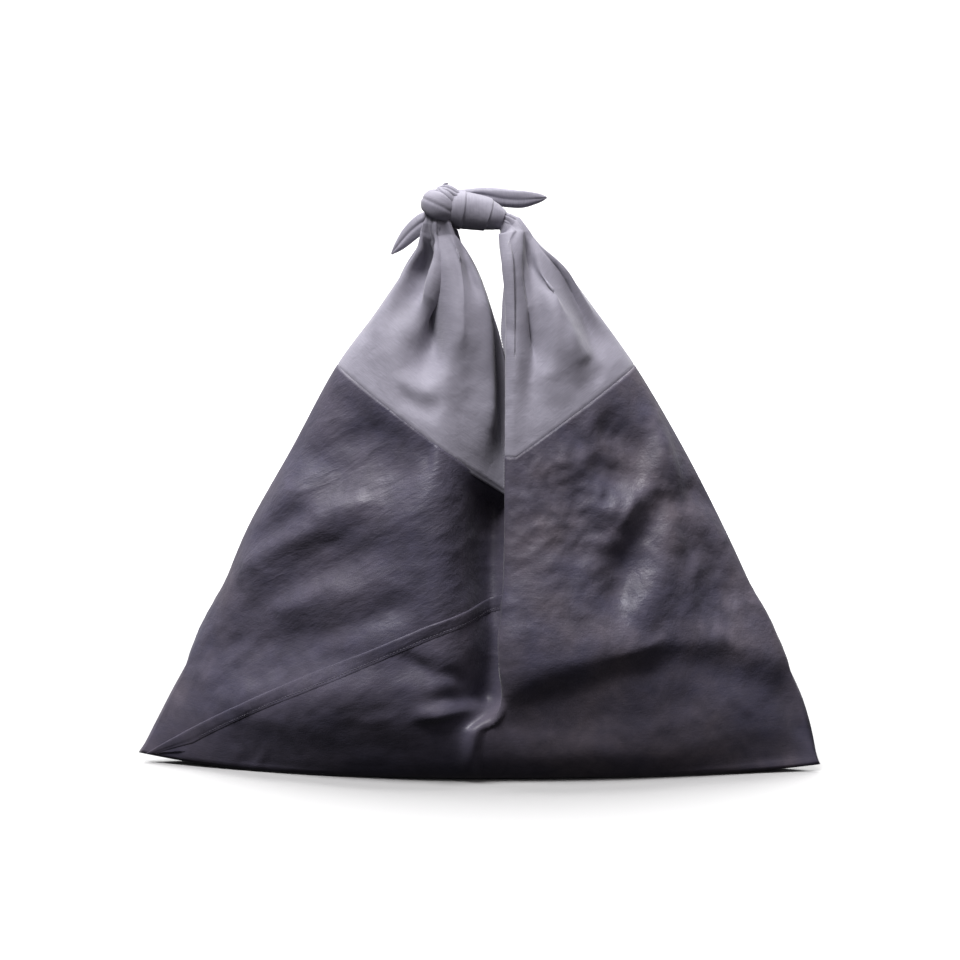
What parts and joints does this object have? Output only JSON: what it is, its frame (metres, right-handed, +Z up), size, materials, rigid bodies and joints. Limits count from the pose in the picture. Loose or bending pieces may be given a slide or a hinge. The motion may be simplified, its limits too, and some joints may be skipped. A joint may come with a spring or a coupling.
{
  "type": "azuma bag",
  "caption": "Soft triangular cloth bag folded from one strip, with two gathered peaks tied in a knot that forms its handle.",
  "frame": {"origin": "on the surface that the bag stands on, under the middle of its outline", "axes": "+X to the right along the bag's width, -Y towards the side with the front seam, +Z up"},
  "size_m": [0.58, 0.1722, 0.4929],
  "materials": {
    "charcoal_cloth": "crumpled, with a faint sheen",
    "grey_cloth": "soft, fine weave"
  },
  "bodies": {
    "root": {"bag_body": "charcoal_cloth", "tie_left": "grey_cloth", "tie_right": "grey_cloth"}
  },
  "joints": []
}
